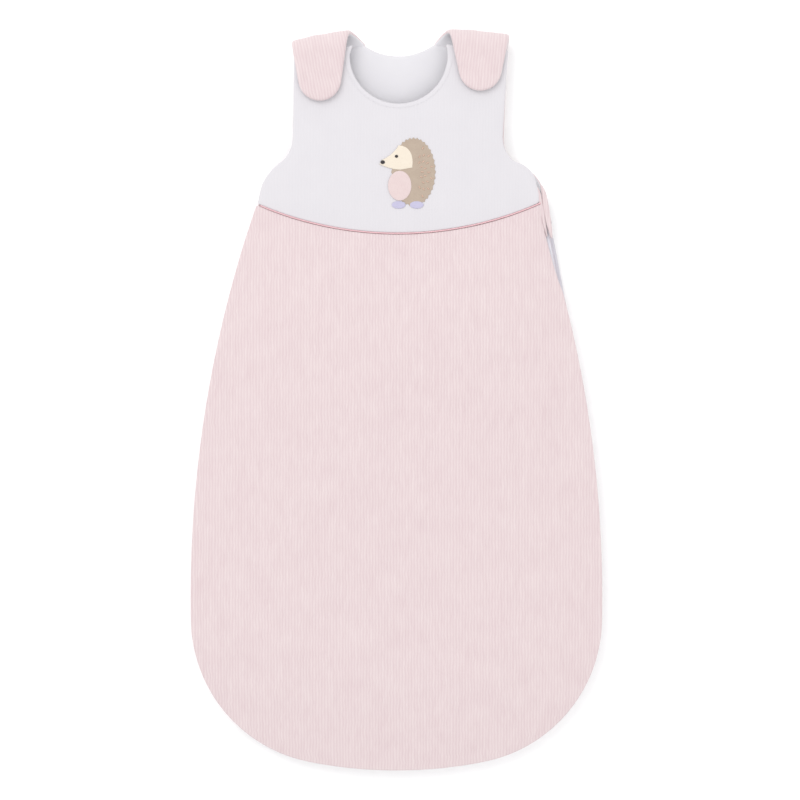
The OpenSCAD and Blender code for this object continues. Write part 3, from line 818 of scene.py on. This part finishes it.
back_line = whole_line("zip_tape_back")
front_line = whole_line("zip_tape_front", "flap_zip_tape")
back_coil, front_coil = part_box("zip_coil_back"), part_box("zip_coil_front")
half_w = 1.2 * MM - wire
half_h = (back_coil[1].z - back_coil[0].z) / 2 - wire
back_coil_z, front_coil_z = ((low.z + high.z) / 2 for low, high in (back_coil, front_coil))

back_tape = tape_piece("zip_tape_lower", back_line, back_coil[0].z, back_z[1] + 0.4 * MM, tape_flat)
bag_piece(back_tape, "zip_tape", "zip_tape_back")
lower_coil = coil_piece("zip_coil_lower", back_line, back_coil_z, half_w, half_h, coil_lean)
bag_piece(lower_coil, "zip_coil", "zip_coil_back")
front_tape = tape_piece("zip_tape_upper", front_line, front_coil[1].z, bodice_z[0] + 0.3 * MM, -tape_flat)
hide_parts("zip_tape_front", "flap_zip_tape")
upper_coil = coil_piece("zip_coil_upper", front_line, front_coil_z, half_w, half_h, -coil_lean)
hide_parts("zip_coil_front", "flap_zip_coil")
for piece in (front_tape, upper_coil):
    stretch_blend(piece, "bag", "front_flap", *flap_blend)

# ---- Motif ---------------------------------------------------------------------------------------


def felt(node, material, slot, lift):
    """A felt shape that lies on the bodice, cut to its CAD node's outline."""
    loops = [smooth(loop, 1.2 * MM, corner=12) for loop in outlines(node) if signed_area(loop) > 0]
    pad = Pad(node + "_felt", loops, 0.45 * MM, 1.6 * MM, [material, material])
    ground = height_on(bodice_tree, pad.plan)
    obj = pad.build(ground + lift + 0.6 * MM, ground + lift - 0.15 * MM)
    bag_piece(obj, slot, node)
    return obj


upper_lift, feet_lift = 0.45 * MM, 0.2 * MM  # how much higher these lie than the back's felt
coat_felt = felt("motif_back", taupe, "felt_taupe", 0.0)
face_felt = felt("motif_face", cream, "felt_cream", upper_lift)
tummy_felt = felt("motif_tummy", pink_felt, "felt_pink", upper_lift)
feet_felt = felt("motif_feet", lilac, "felt_lilac", feet_lift)
motif_tree = tree_over([bodice_obj, coat_felt, face_felt, tummy_felt, feet_felt])


def satin(node, material, slot):
    """Embroidered shapes: raised thread over each of a CAD node's outlines."""
    row_gap, thread_r, bow = 0.45 * MM, 0.27 * MM, 0.25 * MM
    along = np.linspace(-1, 1, 6)
    threads = []
    for loop in outlines(node):
        middle, spread = loop.mean(0), loop - loop.mean(0)
        axis = np.linalg.svd(spread, full_matrices=False)[2][0]
        side = left_of(axis)
        length, width = np.ptp(spread @ axis), np.ptp(spread @ side)
        rows = max(1, round(width / row_gap))
        for k in range(rows):
            off = (k + 0.5) / rows - 0.5
            reach = length / 2 * (math.sqrt(max(0.05, 1 - 3.6 * off * off)) if rows > 2 else 1)
            plan = middle + off * width * side + np.outer(along, axis * reach)
            z = height_on(motif_tree, plan) + (1 - along ** 2) * bow + 0.05 * MM
            threads.append(np.column_stack([plan, z]))
    obj = tube(node + "_thread", threads, thread_r, 6, material)
    bag_piece(obj, slot, node)


satin("motif_eye_and_nose", black_thread, "thread_black")
satin("motif_spines", peach_thread, "thread_peach")

# ---- Piping --------------------------------------------------------------------------------------

spread = np.arctan2(*(top_of_piping - waist_c).T[::-1])
piping_line = np.array([waist_c + waist_r * np.array([math.cos(a), math.sin(a)])
                        for a in np.linspace(spread.min(), spread.max(), 260)])
piping_line = piping_line[piping_line[:, 0] < skirt.plan[:, 0][below_waist(skirt.plan) < 1 * MM].max()]
piping_r, piping_z = 0.65 * MM, bodice_z[1] - 0.7 * MM
piping_path = np.column_stack([piping_line, np.full(len(piping_line), piping_z)])
piping_cord = tube("waist_piping_cloth", [piping_path], piping_r, 12, piping)
bag_piece(piping_cord, "piping", "waist_piping")

# ---- Side seam and zip guard ---------------------------------------------------------------------


def side_wall():
    """The side without a zip: front and back meet in a seam that sinks in between them."""
    line = outlines("side_seam")[0]
    lengths = np.linalg.norm(np.roll(line, -1, 0) - line, axis=1)
    ends = np.argsort(-((lengths < 2.6 * MM) & (lengths > 2.4 * MM)).astype(int), kind="stable")[:2]
    line = np.roll(line, -(ends.min() + 1), 0)
    half = len(line) // 2
    one, two = line[:half], line[half:][::-1]
    outer, inner = (one, two) if one[:, 0].min() < two[:, 0].min() else (two, one)
    outer, inner = (smooth(p, 4 * MM, closed=False) for p in (outer, inner))
    rows = round(length_of(outer) / (4 * MM))
    outer, inner = (even(p, length_of(p) / rows) for p in (outer, inner))
    n = min(len(outer), len(inner))
    outer, inner = outer[:n], inner[:n]
    inward = unit(inner - outer)
    low, high = back_z[1] - 2.5 * MM, bodice_z[0] + 2 * MM
    # Round the seam: how far in from its outer line, in mm, and how high, as a share.
    profile = [(1.6, 0.0), (0.2, 0.12), (-0.6, 0.3), (0.4, 0.44), (1.9, 0.5), (0.4, 0.56), (-0.6, 0.7),
               (0.2, 0.88), (1.6, 1.0), (3.0, 0.8), (3.4, 0.5), (3.0, 0.2)]
    points = []
    for p, v in zip(outer, inward):
        points += [(*(p + v * a * MM), low + b * (high - low)) for a, b in profile]
    m = len(profile)
    faces = grid_faces(n, m, True)
    faces += [list(range(m))[::-1], [(n - 1) * m + k for k in range(m)]]
    cloth = [(p[1], p[0] + p[2], p[2]) for p in points]
    obj = add_mesh("side_seam_cloth", points, faces, [pink_knit], cloth=cloth)
    mesh = bmesh.new()
    mesh.from_mesh(obj.data)
    bmesh.ops.recalc_face_normals(mesh, faces=mesh.faces[:])
    mesh.to_mesh(obj.data)
    mesh.free()
    subdivide(obj)
    bag_piece(obj, "pink_knit", "side_seam")


side_wall()


def zip_guard():
    """Fabric folded over the zip's top end: two soft lips down the side, drawn together at both ends."""
    side = smooth(back_loop, 2 * MM)
    side = side[(side[:, 0] > 0.12) & (side[:, 1] > 148 * MM) & (side[:, 1] < 212 * MM)]
    side = side[np.argsort(side[:, 1])]
    inward = left_of(unit(np.gradient(side, axis=0)))
    loops = []
    # In mm: where a lip starts and ends up the side, how far in it lies there, and half its width.
    outer_lip, inner_lip = (150, 204, 0.4, 2.6, 3.0), (152, 211, 4.6, 7.6, 2.2)
    for low, high, near, far, half in (outer_lip, inner_lip):
        run = (side[:, 1] >= low * MM) & (side[:, 1] <= high * MM)
        t = np.linspace(0, 1, run.sum())
        middle = side[run] + inward[run] * (near + (far - near) * t)[:, None] * MM
        wide = inward[run] * (half * MM * np.sin(math.pi * (0.04 + 0.92 * t)) ** 0.6)[:, None]
        loops.append(smooth(np.concatenate([middle - wide, (middle + wide)[::-1]]), 1.6 * MM))
    pad = Pad("zip_guard_cloth", loops, 1.2 * MM, 1.3 * MM, [pink_knit, pink_knit])
    top = bodice_z[1] - 0.8 * MM + 0.5 * MM * ripple(pad.plan * [1, 0.4], 6 * MM, 7)
    obj = pad.build(top, np.full(len(pad.plan), bodice_z[0] - 0.3 * MM))
    subdivide(obj)
    bag_piece(obj, "pink_knit", "zip_guard")


zip_guard()

# ---- Nodes kept as they are ----------------------------------------------------------------------

kept = {
    "zip_top_stops": metal, "zip_end_stop": metal, "zip_slider": metal,
    "zip_pull": metal, "bodice_stud_left": plastic, "bodice_stud_right": plastic, "stud_washers": plastic,
    "strap_left_socket": plastic, "strap_left_cap": plastic,
    "strap_right_socket": plastic, "strap_right_cap": plastic,
}
for name, material in kept.items():
    obj = nodes[name]
    for slot in obj.material_slots:
        slot.material = material
    bevel = obj.modifiers.new("Worn edges", "BEVEL")
    bevel.width, bevel.segments, bevel.limit_method = 0.2 * MM, 2, "ANGLE"
    bevel.angle_limit = math.radians(35)

# ---- Stage ---------------------------------------------------------------------------------------

scene = bpy.context.scene
scene.view_settings.view_transform = "Standard"

floor_mesh = bpy.data.meshes.new("floor")
floor_z, floor_half = -0.0003, 4
floor_corners = [(x * floor_half, y * floor_half, floor_z) for x, y in ((-1, -1), (1, -1), (1, 1), (-1, 1))]
floor_mesh.from_pydata(floor_corners, [], [(0, 1, 2, 3)])
floor = bpy.data.objects.new("floor", floor_mesh)
scene.collection.objects.link(floor)
floor_material, floor_shader = base_material("floor", 0.9)
floor_shader.inputs["Base Color"].default_value = (0.97, 0.97, 0.97, 1)
floor_mesh.materials.append(floor_material)

world = bpy.data.worlds.new("studio")
world.use_nodes = True
world.node_tree.nodes["Background"].inputs["Color"].default_value = (1, 1, 1, 1)
world.node_tree.nodes["Background"].inputs["Strength"].default_value = 0.84 * high_key
scene.world = world


def softbox(name, place_at, size, power):
    light = bpy.data.lights.new(name, "AREA")
    light.shape, light.size, light.energy = "SQUARE", size, power * high_key
    lamp = bpy.data.objects.new(name, light)
    lamp.location = place_at
    lamp.rotation_euler = (-Vector(place_at)).to_track_quat("-Z", "Y").to_euler()
    scene.collection.objects.link(lamp)


softbox("key", (-1.1, 1.5, 2.2), 1.8, 19)
softbox("fill", (1.6, -0.6, 2.2), 2.0, 7)

lens, sensor = 0.100, 0.036
view_width = 0.7537  # what the photograph's width spans at the bag
view_x, view_y, view_z = 3.3 * MM, -0.5 * MM, 20 * MM  # the middle of that view
camera_data = bpy.data.cameras.new("camera")
camera_data.lens, camera_data.sensor_width = lens / MM, sensor / MM
camera = bpy.data.objects.new("camera", camera_data)
camera.location = (view_x, view_y, view_z + view_width * lens / sensor)
scene.collection.objects.link(camera)
scene.camera = camera
